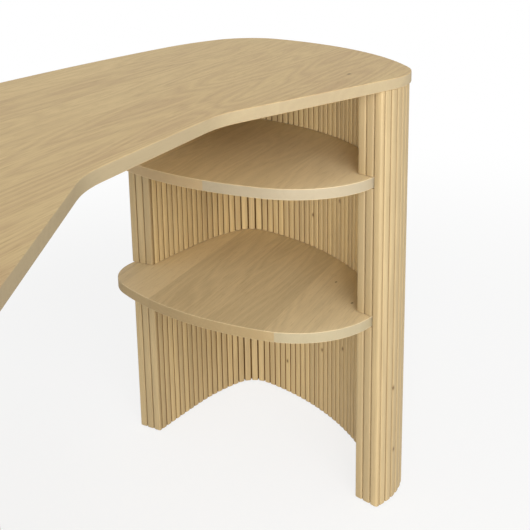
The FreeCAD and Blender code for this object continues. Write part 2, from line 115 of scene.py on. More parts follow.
def add_node(
    tree: Tree, kind: str, settings: dict[str, Any] | None = None,
    inputs: dict[str | int, Any] | None = None,
) -> bpy.types.Node:
    """Adds one node to a tree.

    Args:
        tree: the material's or world's node tree.
        kind: the node's type name.
        settings: properties of the node; "stops" are a colour ramp's places and colours.
        inputs: values or other nodes' sockets, by input name or number.

    Returns:
        The new node.
    """
    node = tree.nodes.new(kind)
    for name, value in (settings or {}).items():
        if name == "stops":
            elements = node.color_ramp.elements
            while len(elements) < len(value):
                elements.new(1.0)
            for element, (place, colour) in zip(elements, value):
                element.position = place
                element.color = colour
        else:
            setattr(node, name, value)
    for name, value in (inputs or {}).items():
        if isinstance(value, Socket):
            tree.links.new(value, node.inputs[name])
        else:
            node.inputs[name].default_value = value
    return node


def start_material(name: str) -> tuple[bpy.types.Material, Tree, bpy.types.Node]:
    """Makes an empty material with its shader joined to the output.

    Args:
        name: the material's name.

    Returns:
        The material, its tree and its shader.
    """
    material = bpy.data.materials.new(name)
    material.use_nodes = True
    tree = material.node_tree
    tree.nodes.clear()
    shader = add_node(tree, "ShaderNodeBsdfPrincipled")
    add_node(tree, "ShaderNodeOutputMaterial", inputs={"Surface": shader.outputs["BSDF"]})
    return material, tree, shader


class Grain(Enum):
    """Axis along which a piece's wood fibres run."""

    LENGTHWISE = 0
    UPRIGHT = 2


class Side(Enum):
    """Side of the desk on which a pedestal stands, as its nodes' names start."""

    RIGHT = "right"
    LEFT = "left"


@dataclass(frozen=True)
class Knot:
    """Small knot: its middle and its reach along each axis, in millimetres."""

    middle: tuple[float, float, float]
    reach: tuple[float, float, float]


@dataclass(frozen=True)
class Oak:
    """Solid oak, sanded and given a matt oil: pale honey wood with fine darker fibres and pores.

    Real pores are about 0.2 mm wide; they are drawn coarser, so that a picture still shows them.

    Attributes:
        name: the material's name.
        grain: axis of the fibres.
        dark: colour of the darkest wood.
        middle: colour of the wood at its middle tone.
        pale: colour of the palest wood.
        pore: colour of the pores.
        knot_heart: colour of a knot's heart.
        knots: places of the knots.
        knot_fade: distance from a knot's heart, by its reach, and the knot's strength there.
        fibre_mm: length and width of the fibres, as those of clouds and pores.
        fibre_detail: how many finer layers the fibres have.
        cloud_mm: slow changes of tone.
        ring_count: how many growth rings lie between the darkest and the palest cloud.
        pore_mm: dashes of the pores.
        broad_detail: how many finer layers clouds and pores have.
        fibre_weight: how far the fibres move the tone, as do the next three for their patterns.
        cloud_weight: share of the clouds.
        ring_weight: share of the rings.
        tone_weight: share of the plank's or slat's own tone.
        tone_stops: tones of the three colours.
        pore_strength: how much of their colour the pores show.
        pore_stops: noise values where a pore is full and where it ends.
        relief_strength: strength of the pores' relief.
        relief_mm: its depth.
        ior: refraction of the oil.
        roughness: matt, as a thin oil leaves sanded wood.
        specular: strength of the sheen.
    """

    name: str
    grain: Grain
    dark: str
    middle: str
    pale: str
    pore: str = "94733F"
    knot_heart: str = "5E4324"
    knots: tuple[Knot, ...] = ()
    knot_fade: tuple[tuple[float, float], ...] = ((0.0, 0.85), (0.35, 0.7), (0.6, 0.22), (1.0, 0.0))
    fibre_mm: tuple[float, float] = (260.0, 2.4)
    fibre_detail: float = 3.0
    cloud_mm: tuple[float, float] = (520.0, 62.0)
    ring_count: float = 11.0
    pore_mm: tuple[float, float] = (26.0, 1.3)
    broad_detail: float = 1.0
    fibre_weight: float = 0.75
    cloud_weight: float = 0.35
    ring_weight: float = 0.14
    tone_weight: float = 0.22
    tone_stops: tuple[float, float, float] = (0.2, 0.5, 0.8)
    pore_strength: float = 0.34
    pore_stops: tuple[float, float] = (0.30, 0.43)
    relief_strength: float = 0.10
    relief_mm: float = 0.3
    ior: float = 1.46
    roughness: float = 0.6
    specular: float = 0.28

    def make(self) -> bpy.types.Material:
        """Builds the finish.

        Returns:
            Oak with its fibres along the grain's axis.
        """
        material, tree, shader = start_material(self.name)
        place = add_node(tree, "ShaderNodeTexCoord").outputs["Object"]
        tone, moved = self.strips(tree, place)
        fibres = self._streaks(tree, moved, self.fibre_mm, self.fibre_detail)
        clouds = self._streaks(tree, moved, self.cloud_mm, self.broad_detail)
        pores = self._streaks(tree, moved, self.pore_mm, self.broad_detail)
        rings = self._rings(tree, clouds)
        weighted = (
            (fibres, self.fibre_weight), (clouds, self.cloud_weight),
            (rings, self.ring_weight), (tone, self.tone_weight),
        )
        # Patterns that are all at their middle give the middle tone
        total: float | Socket = 0.5 - sum(weight for _, weight in weighted) / 2
        for value, weight in weighted:
            total = add_node(
                tree, "ShaderNodeMath", {"operation": "MULTIPLY_ADD"}, {0: value, 1: weight, 2: total},
            ).outputs[0]
        colours = [linear(colour) for colour in (self.dark, self.middle, self.pale)]
        wood = add_node(
            tree, "ShaderNodeValToRGB", {"stops": list(zip(self.tone_stops, colours))}, {0: total},
        ).outputs["Color"]

        # Pores show as short dark dashes along the fibres
        strengths = (grey(self.pore_strength), grey(0.0))
        dashes = add_node(
            tree, "ShaderNodeValToRGB", {"stops": list(zip(self.pore_stops, strengths))}, {0: pores},
        ).outputs["Color"]
        wood = add_node(
            tree, "ShaderNodeMix", {"data_type": "RGBA"},
            {"Factor": dashes, "A": wood, "B": linear(self.pore)},
        ).outputs["Result"]
        wood = self.finish_edges(tree, wood)
        if self.knots:
            wood = add_node(
                tree, "ShaderNodeMix", {"data_type": "RGBA"},
                {"Factor": self._knot_mask(tree, place), "A": wood, "B": linear(self.knot_heart)},
            ).outputs["Result"]
        tree.links.new(wood, shader.inputs["Base Color"])
        shader.inputs["Roughness"].default_value = self.roughness
        shader.inputs["IOR"].default_value = self.ior
        shader.inputs["Specular IOR Level"].default_value = self.specular

        # Fine relief of the pores breaks the sheen
        bump = add_node(
            tree, "ShaderNodeBump",
            inputs={"Strength": self.relief_strength, "Distance": self.relief_mm * MM, "Height": pores},
        )
        tree.links.new(bump.outputs["Normal"], shader.inputs["Normal"])
        return material

    def strips(self, tree: Tree, place: Socket) -> tuple[Socket, Socket]:
        """Gives each strip's tone from 0 to 1, and coordinates that differ from strip to strip."""
        raise NotImplementedError

    def finish_edges(self, tree: Tree, wood: Socket) -> Socket:
        """Gives the wood's colour with that of the piece's sides laid over it."""
        raise NotImplementedError

    def _streaks(self, tree: Tree, place: Socket, size_mm: tuple[float, float], detail: float) -> Socket:
        """Noise stretched along the grain.

        Args:
            tree: the material's node tree.
            place: coordinates in metres.
            size_mm: length and width of its streaks.
            detail: how many finer layers it has.

        Returns:
            Its value socket.
        """
        length, width = size_mm
        scale = [1 / (width * MM)] * 3
        scale[self.grain.value] = 1 / (length * MM)
        stretched = add_node(
            tree, "ShaderNodeVectorMath", {"operation": "MULTIPLY"}, {0: place, 1: scale},
        )
        return add_node(
            tree, "ShaderNodeTexNoise",
            inputs={"Vector": stretched.outputs[0], "Scale": 1.0, "Detail": detail},
        ).outputs["Fac"]

    def _rings(self, tree: Tree, clouds: Socket) -> Socket:
        """Growth rings that follow the slow clouds as nested loops, the cathedrals of a flat-sawn plank.

        Args:
            tree: the material's node tree.
            clouds: value of the clouds.

        Returns:
            A value that swings between 0 and 1.
        """
        loops = add_node(tree, "ShaderNodeMath", {"operation": "MULTIPLY"}, {0: clouds, 1: self.ring_count})
        half = add_node(tree, "ShaderNodeMath", {"operation": "PINGPONG"}, {0: loops.outputs[0], 1: 0.5})
        return add_node(
            tree, "ShaderNodeMath", {"operation": "MULTIPLY"}, {0: half.outputs[0], 1: 2.0},
        ).outputs[0]

    def _knot_mask(self, tree: Tree, place: Socket) -> Socket:
        """Strength of the knots, greatest at a knot's heart and nothing beyond its reach.

        Args:
            tree: the material's node tree.
            place: coordinates in metres.

        Returns:
            The strength as a colour's grey.
        """
        beyond_reach = 2.0
        nearest: float | Socket = beyond_reach
        for knot in self.knots:
            offset = add_node(
                tree, "ShaderNodeVectorMath", {"operation": "SUBTRACT"},
                {0: place, 1: [c * MM for c in knot.middle]},
            )
            scaled = add_node(
                tree, "ShaderNodeVectorMath", {"operation": "DIVIDE"},
                {0: offset.outputs[0], 1: [r * MM for r in knot.reach]},
            )
            distance = add_node(
                tree, "ShaderNodeVectorMath", {"operation": "LENGTH"}, {0: scaled.outputs[0]},
            )
            nearest = add_node(
                tree, "ShaderNodeMath", {"operation": "MINIMUM"},
                {0: distance.outputs["Value"], 1: nearest},
            ).outputs[0]
        stops = [(reach, grey(strength)) for reach, strength in self.knot_fade]
        return add_node(tree, "ShaderNodeValToRGB", {"stops": stops}, {0: nearest}).outputs["Color"]


@dataclass(frozen=True)
class OakBoard(Oak):
    """Edge-glued oak board: planks side by side, each of its own tone, and painted shade on its narrow
    sides.

    Attributes:
        plank_mm: width of a plank.
        joint_mm: place of one joint across Y.
        plank_shift: how far a plank's piece of grain may lie from its real place, in metres.
        edge: colour of the painted shade on the narrow sides.
        front_edge_shade: their colour in front of the front joint.
        front_joint_mm: place of that joint across Y.
        edge_shade_strength: how much of their colour the sides show.
    """

    plank_mm: float = 96.0
    joint_mm: float = 0.0
    plank_shift: float = 3.0
    edge: str = "A99A7D"
    front_edge_shade: str = "A99A7D"
    front_joint_mm: float = 0.0
    edge_shade_strength: float = 0.8

    def strips(self, tree: Tree, place: Socket) -> tuple[Socket, Socket]:
        """Splits the board into planks across Y, with one joint at the given place.

        Args:
            tree: the material's node tree.
            place: coordinates in metres.

        Returns:
            The plank's tone from 0 to 1, and coordinates that differ from plank to plank.
        """
        across = add_node(tree, "ShaderNodeSeparateXYZ", inputs={0: place}).outputs["Y"]
        counted = add_node(
            tree, "ShaderNodeMath", {"operation": "MULTIPLY_ADD"},
            {0: across, 1: 1 / (self.plank_mm * MM), 2: -self.joint_mm / self.plank_mm},
        )
        plank = add_node(tree, "ShaderNodeMath", {"operation": "FLOOR"}, {0: counted.outputs[0]})
        chance = add_node(
            tree, "ShaderNodeTexWhiteNoise", {"noise_dimensions": "1D"}, {"W": plank.outputs[0]},
        )
        moved = add_node(
            tree, "ShaderNodeVectorMath", {"operation": "MULTIPLY_ADD"},
            {0: chance.outputs["Color"], 1: [self.plank_shift] * 3, 2: place},
        )
        return chance.outputs["Value"], moved.outputs[0]

    def finish_edges(self, tree: Tree, wood: Socket) -> Socket:
        """Paints shade on the board's narrow sides, in a darker, greyer colour than the wood's.

        Args:
            tree: the material's node tree.
            wood: colour of the wood.

        Returns:
            The colour with the painted shade on the sides.
        """
        place = add_node(tree, "ShaderNodeTexCoord").outputs["Object"]
        across = add_node(tree, "ShaderNodeSeparateXYZ", inputs={0: place}).outputs["Y"]
        front = add_node(
            tree, "ShaderNodeMath", {"operation": "LESS_THAN"}, {0: across, 1: self.front_joint_mm * MM},
        )
        rim = add_node(
            tree, "ShaderNodeMix", {"data_type": "RGBA"},
            {"Factor": front.outputs[0], "A": linear(self.edge), "B": linear(self.front_edge_shade)},
        )
        # Painted shade: faces that look sideways take the darker rim colour
        side = add_node(tree, "ShaderNodeAttribute", {"attribute_name": PAINTED_SIDE_SHADE})
        amount = add_node(
            tree, "ShaderNodeMath", {"operation": "MULTIPLY"},
            {0: side.outputs["Fac"], 1: self.edge_shade_strength},
        )
        return add_node(
            tree, "ShaderNodeMix", {"data_type": "RGBA"},
            {"Factor": amount.outputs[0], "A": wood, "B": rim.outputs["Result"]},
        ).outputs["Result"]


@dataclass(frozen=True)
class OakSlat(Oak):
    """Oak strips rounded by a cutter: each slat brings its own tone and grain as attributes.

    The grooves between neighbours get painted shade, which draws the fine upright lines.

    Attributes:
        groove: colour of the painted shade in the grooves.
        groove_shade_strength: how much of it they show.
    """

    groove: str = "734C12"
    groove_shade_strength: float = 0.9

    def strips(self, tree: Tree, place: Socket) -> tuple[Socket, Socket]:
        """Takes tone and shift from the slat.

        Args:
            tree: the material's node tree.
            place: coordinates in metres.

        Returns:
            The slat's tone from 0 to 1, and coordinates that differ from slat to slat.
        """
        shift = add_node(tree, "ShaderNodeAttribute", {"attribute_name": SLAT_SHIFT})
        tone = add_node(tree, "ShaderNodeAttribute", {"attribute_name": SLAT_TONE})
        moved = add_node(
            tree, "ShaderNodeVectorMath", {"operation": "ADD"}, {0: place, 1: shift.outputs["Vector"]},
        )
        return tone.outputs["Fac"], moved.outputs[0]

    def finish_edges(self, tree: Tree, wood: Socket) -> Socket:
        """Paints shade on the slat's sides.

        Args:
            tree: the material's node tree.
            wood: colour of the wood.

        Returns:
            The colour with painted shade in the grooves.
        """
        # Painted shade, strongest deep in the grooves between slats
        share = add_node(tree, "ShaderNodeAttribute", {"attribute_name": PAINTED_GROOVE_SHADE})
        amount = add_node(
            tree, "ShaderNodeMath", {"operation": "MULTIPLY"},
            {0: share.outputs["Fac"], 1: self.groove_shade_strength},
        )
        return add_node(
            tree, "ShaderNodeMix", {"data_type": "RGBA"},
            {"Factor": amount.outputs[0], "A": wood, "B": linear(self.groove)},
        ).outputs["Result"]


@dataclass(frozen=True)
class PlainFinish:
    """Hidden or small material with a fine mottle: plywood, cloth, bare beech, steel or nylon.

    Attributes:
        name: the material's name.
        pale: paler colour of the mottle.
        dark: its darker colour.
        grit_mm: size of its spots.
        roughness: of the surface.
        metallic: one for a metal.
        detail: how many finer layers the mottle has.
        dark_stop: noise value up to which it is dark.
        pale_stop: noise value from which it is pale.
    """

    name: str
    pale: str
    dark: str
    grit_mm: float
    roughness: float
    metallic: float = 0.0
    detail: float = 2.0
    dark_stop: float = 0.35
    pale_stop: float = 0.65

    def make(self) -> bpy.types.Material:
        """Builds the finish.

        Returns:
            Material with a mottle of the given grit.
        """
        material, tree, shader = start_material(self.name)
        place = add_node(tree, "ShaderNodeTexCoord").outputs["Object"]
        noise = add_node(
            tree, "ShaderNodeTexNoise",
            inputs={"Vector": place, "Scale": 1 / (self.grit_mm * MM), "Detail": self.detail},
        )
        colour = add_node(
            tree, "ShaderNodeValToRGB",
            {"stops": [(self.dark_stop, linear(self.dark)), (self.pale_stop, linear(self.pale))]},
            {0: noise.outputs["Fac"]},
        )
        tree.links.new(colour.outputs["Color"], shader.inputs["Base Color"])
        shader.inputs["Roughness"].default_value = self.roughness
        shader.inputs["Metallic"].default_value = self.metallic
        return material


def is_level(edge: bmesh.types.BMEdge) -> bool:
    """Tells a level edge from an upright one."""
    return abs(edge.verts[0].co.z - edge.verts[1].co.z) < LEVEL_TOLERANCE


def round_edges(shape: bmesh.types.BMesh, edges: list[bmesh.types.BMEdge], radius: float) -> None:
    """Rounds edges of a mesh.

    Args:
        shape: the mesh.
        edges: its edges to round.
        radius: in metres.
    """
    bmesh.ops.bevel(
        shape, geom=edges, offset=radius, affect="EDGES", segments=2, profile=0.5,
        material=-1, clamp_overlap=True,
    )


def plan(place: Vector) -> Vector:
    """Drops a place onto the floor."""
    return place.to_2d().to_3d()


def search_tree(places: list[tuple[Vector, int]]) -> KDTree:
    """Makes a tree that finds the places near another.

    Args:
        places: each place with the number of what it belongs to.

    Returns:
        The balanced tree.
    """
    tree = KDTree(len(places))
    for place, owner in places:
        tree.insert(place, owner)
    tree.balance()
    return tree


@dataclass
class DressedCopy:
    """Piece made as a merged copy of a CAD node, which it replaces.

    Attributes:
        node: name of the CAD node.
        slot: the record's material slot for the node; not used.
        smooth_angle: faces that meet at less than this are shaded as one.
        piece: the finished object.
    """

    node: str
    slot: str
    smooth_angle: float = math.radians(40)
    piece: bpy.types.Object | None = field(default=None, init=False)

    def build(self, source: bpy.types.Object) -> None:
        """Copies, merges and finishes the shape.

        Args:
            source: the CAD node's object.
        """
        shape = bmesh.new()
        shape.from_mesh(source.data)
        bmesh.ops.remove_doubles(shape, verts=shape.verts[:], dist=MERGE_DISTANCE)
        bmesh.ops.dissolve_limit(
            shape, angle_limit=FLAT_ANGLE, verts=shape.verts[:], edges=shape.edges[:],
        )
        self.refine(shape)
        mesh = bpy.data.meshes.new(f"{self.node}_dressed")
        shape.to_mesh(mesh)
        shape.free()
        self.piece = bpy.data.objects.new(f"{self.node}_dressed", mesh)
        bpy.context.scene.collection.objects.link(self.piece)
        mesh.shade_smooth()
        mesh.set_sharp_from_angle(angle=self.smooth_angle)
        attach(self.piece, "root")
        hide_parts(self.node)
        LOG.info("built %s", self.piece.name)

    def refine(self, shape: bmesh.types.BMesh) -> None:
        """Adds what the CAD solid leaves out."""
        raise NotImplementedError

    def dress(self, finish: bpy.types.Material) -> None:
        """Gives the piece its finish."""
        self.piece.data.materials.append(finish)


@dataclass
class Board(DressedCopy):
    """Desktop or shelf, marked where it has its narrow sides."""

    def refine(self, shape: bmesh.types.BMesh) -> None:
        """Stores how far each face looks sideways.

        Args:
            shape: the board's mesh.
        """
        # Painted shade: the more a face looks sideways, the more of the darker rim colour it takes
        layer = shape.faces.layers.float.new(PAINTED_SIDE_SHADE)
        for face in shape.faces:
            face[layer] = 1 - abs(face.normal.z)


@dataclass
class SlatSet(DressedCopy):
    """One set of tambour slats with rounded sides and softened ends.

    Attributes:
        in_row: whether slats of other sets close the set's two sides.
        sibling: corners of a set that stands beside this one.
        side_round: rounding of each slat's two front edges, in metres.
        corner_round: rounding of a front edge that the CAD solid already has rounder than the others.
        back_round: rounding of the back edges of slats that are not in a row.
        end_round: rounding of each slat's two ends.
        seed: start of the random tones.
        tone_middle: middle of the tones, from 0 for dark to 1 for pale.
        tone_spread: how far a slat's tone may lie from that middle.
        grain_reach: how far a slat's piece of grain may lie from its real place, in metres.
        groove_shade: how much painted shade its grooves get, from 0 to 1.
        groove_reach: how near a neighbour makes a slat's side part of a groove, in metres.
        groove_start: depth below the crown where a groove's painted shade starts, by slat thickness.
        groove_full: depth where it is full.
        back_shade: height above its back up to which a slat gets painted shade even without a neighbour, in
            metres.
        corner_share: how much of the painted shade the rest of a side without a neighbour gets.
        end_shade: height of the band of painted shade at a slat's two ends, in metres.
    """

    in_row: bool = True
    sibling: list[Vector] = field(default_factory=list)
    side_round: float = 3.0 * MM
    corner_round: float = 5.0 * MM
    back_round: float = 1.0 * MM
    end_round: float = 0.7 * MM
    seed: int = 0
    tone_middle: float = 0.5
    tone_spread: float = 0.22
    grain_reach: float = 5.0
    groove_shade: float = 1.0
    groove_reach: float = 4.0 * MM
    groove_start: float = 0.10
    groove_full: float = 0.34
    back_shade: float = 2.0 * MM
    corner_share: float = 0.3
    end_shade: float = 0.175 * MM

    def refine(self, shape: bmesh.types.BMesh) -> None:
        """Rounds the slats' edges and ends and marks every slat.

        Args:
            shape: mesh of the set, in which each slat is apart from the others.
        """
        slats = self._split(shape)
        for slat in slats:
            self._round_sides(slat)
        if not self.in_row:
            # The upright back edges show at the ends of the wall
            backs = [self._back(slat) for slat in slats]
            upright = [edge for back in backs for edge in back.edges if not is_level(edge)]
            round_edges(shape, upright, self.back_round)
        round_edges(shape, [edge for edge in shape.edges if is_level(edge)], self.end_round)
        self._mark_slats(shape)

    def _round_sides(self, slat: list[bmesh.types.BMVert]) -> None:
        """Spreads the small round of a slat's front edges to a wider one.

        The corners of the round keep their angles, so it still runs smoothly into side and crown.

        Args:
            slat: the slat's corners.
        """
        back = self._back(slat)
        middle = back.calc_center_bounds()
        along = back.normal.cross(UP)
        places = {vert: (vert.co - middle).dot(along) for vert in slat}
        levels = {vert: (middle - vert.co).dot(back.normal) for vert in slat}
        half = max(places.values())
        front = [vert for vert in slat if levels[vert] > max(levels.values()) / 2]
        for side in (-1, 1):
            ring = [vert for vert in front if side * places[vert] > half / 2]
            crown = max((vert for vert in front if vert not in ring), key=lambda v: side * places[v])
            # The round starts on the side and ends where it meets the crown
            end = min(ring, key=lambda v: side * places[v])
            run = half - side * places[end]
            rise = levels[end] - min(levels[vert] for vert in ring)
            small = (run ** 2 + rise ** 2) / (2 * run)
            wide = self.side_round if small < self.side_round / 2 else self.corner_round
            more = wide / small - 1
            # The wider round ends nearer to the middle of the slat, where the crown is higher
            slope = (levels[crown] - levels[end]) / (half - run - side * places[crown])
            lift = run * more * slope
            for vert in ring:
                out = side * places[vert] - half
                up = levels[vert] - levels[end]
                vert.co += along * side * out * more - back.normal * (up * more + lift)

    def _mark_slats(self, shape: bmesh.types.BMesh) -> None:
        """Gives every slat its own tone, its own place in the grain, and painted shade on its sides and
        ends.

        Args:
            shape: mesh in which each slat is apart from the others.
        """
        chance = random.Random(self.seed)
        tone_layer = shape.verts.layers.float.new(SLAT_TONE)
        shift_layer = shape.verts.layers.float_vector.new(SLAT_SHIFT)
        groove_shade_layer = shape.verts.layers.float.new(PAINTED_GROOVE_SHADE)
        slats = self._split(shape)
        owners = search_tree([(vert.co, number) for number, slat in enumerate(slats) for vert in slat])
        sibling = search_tree([(plan(corner), number) for number, corner in enumerate(self.sibling)])
        for number, slat in enumerate(slats):
            tone = self.tone_middle + chance.uniform(-self.tone_spread, self.tone_spread)
            shift = Vector([chance.uniform(0, self.grain_reach) for _ in range(3)])
            back = self._back(slat)
            heights = [(back.verts[0].co - vert.co).dot(back.normal) for vert in slat]
            crown = max(heights)
            low = min(vert.co.z for vert in slat)
            high = max(vert.co.z for vert in slat)
            for vert, height in zip(slat, heights):
                near = owners.find_range(vert.co, self.groove_reach)
                # A side that faces a neighbour or the set beside it, and the back, get the full painted
                # shade; other sides get a share
                covered = (
                    self.in_row
                    or height < self.back_shade
                    or any(owner != number for _, owner, _ in near)
                    or bool(sibling.find_range(plan(vert.co), self.groove_reach))
                )
                share = 1.0 if covered else self.corner_share
                depth = (1 - height / crown - self.groove_start) / (self.groove_full - self.groove_start)
                dark = min(max(depth, 0.0), 1.0) * share
                # Painted shade: a thin band at a slat's two ends, where it meets the next part, is as dark
                # as a groove
                if min(vert.co.z - low, high - vert.co.z) < self.end_shade:
                    dark = 1.0
                vert[tone_layer] = tone
                vert[shift_layer] = shift
                vert[groove_shade_layer] = dark * self.groove_shade

    @staticmethod
    def _split(shape: bmesh.types.BMesh) -> list[list[bmesh.types.BMVert]]:
        """Sorts a mesh's corners into its separate slats.

        Args:
            shape: mesh of a whole set.

        Returns:
            The corners of each slat, in the order of their places.
        """
        slats: list[list[bmesh.types.BMVert]] = []
        seen: set[bmesh.types.BMVert] = set()
        starts = sorted(shape.verts, key=lambda v: tuple(round(c, SORT_DIGITS) for c in v.co))
        for start in starts:
            if start in seen:
                continue
            slat = [start]
            seen.add(start)
            for vert in slat:
                for edge in vert.link_edges:
                    other = edge.other_vert(vert)
                    if other not in seen:
                        seen.add(other)
                        slat.append(other)
            slats.append(slat)
        return slats

    def _back(self, slat: list[bmesh.types.BMVert]) -> bmesh.types.BMFace:
        """Finds a slat's flat back, its largest face."""
        return max({face for vert in slat for face in vert.link_faces}, key=self._face_order)

    @staticmethod
    def _face_order(face: bmesh.types.BMFace) -> tuple[float, float, float]:
        """Sorts faces by area, and equal ones by place."""
        middle = face.calc_center_median()
        return face.calc_area(), middle.x, middle.y


@dataclass(frozen=True)
class SlatLook:
    """Tone of a set's slats, from 0 for dark to 1 for pale, and the painted shade of their grooves, from 0
    to 1.
    """

    tone: float
    dark: float


@dataclass
class Pedestal:
    """One pedestal: wall, shelves, slats and fasteners.

    Attributes:
        side: where it stands.
        seed: start of the random tones of its slats.
        slots: the record's material slot of every node.
        looks: how each set of slats looks, by the first of these words in its node's name.
        copies: the dressed pieces by node.
    """

    side: Side
    seed: int
    slots: dict[str, str]
    looks: dict[str, SlatLook] = field(
        default_factory=lambda: {
            # Painted light: slats in the hollow between the shelves are made palest, the lower ones less
            # so, and the brightly lit outer, corner and end slats darkest; the hollow's grooves get the
            # most painted shade
            "lower_inner": SlatLook(tone=0.45, dark=1.0),
            "inner": SlatLook(tone=0.72, dark=1.0),
            "outer": SlatLook(tone=0.12, dark=0.55),
            "corner": SlatLook(tone=0.05, dark=0.45),
            "end": SlatLook(tone=0.0, dark=0.35),
        },
    )
    copies: dict[str, DressedCopy] = field(default_factory=dict, init=False)

    def build(self, nodes: dict[str, bpy.types.Object]) -> None:
        """Builds the slats and shelves.

        Args:
            nodes: the CAD nodes by name.
        """
        for count, node in enumerate(name for name in self.slots if name.startswith(self.side.value)):
            slot = self.slots[node]
            if slot == "oak_slat":
                look = next(look for word, look in self.looks.items() if word in node)
                self.copies[node] = SlatSet(
                    node, slot, seed=self.seed + count, tone_middle=look.tone, groove_shade=look.dark,
                    in_row="inner" in node or "outer" in node, sibling=self._sibling(node, nodes),
                )
            elif slot == "oak_board":
                self.copies[node] = Board(node, slot)
            else:
                continue
            self.copies[node].build(nodes[node])

    def _sibling(self, node: str, nodes: dict[str, bpy.types.Object]) -> list[Vector]:
        """Finds the corners of the set that stands beside the corner slat or the front end slats.

        Args:
            node: name of the set's CAD node.
            nodes: the CAD nodes by name.

        Returns:
            The other set's corners, or none for the remaining sets.
        """
        pair = {f"{self.side.value}_corner_slat", f"{self.side.value}_front_end_slats"}
        if node not in pair:
            return []
        other = (pair - {node}).pop()
        return [vert.co.copy() for vert in nodes[other].data.vertices]

    def dress(self, nodes: dict[str, bpy.types.Object], finishes: dict[str, bpy.types.Material]) -> None:
        """Gives every piece its finish.

        Args:
            nodes: the CAD nodes by name.
            finishes: materials by the record's slot or by the end of a node's name.
        """
        for node, slot in self.slots.items():
            if not node.startswith(self.side.value):
                continue
            if node in self.copies:
                own = node.removeprefix(f"{self.side.value}_")
                self.copies[node].dress(finishes.get(own, finishes[slot]))
            else:
                paint(nodes[node], finishes[slot])


def paint(node: bpy.types.Object, finish: bpy.types.Material) -> None:
    """Puts a finish into a CAD node's material slots.

    Args:
        node: the CAD node's object.
        finish: its new material.
    """
    for place in node.material_slots:
        place.link = "OBJECT"
        place.material = finish
    LOG.info("painted %s", node.name)


@dataclass(frozen=True)
class Lamp:
    """Square soft lamp: its place and side in metres, and its power in watts."""

    name: str
    place: tuple[float, float, float]
    side: float
    power: float


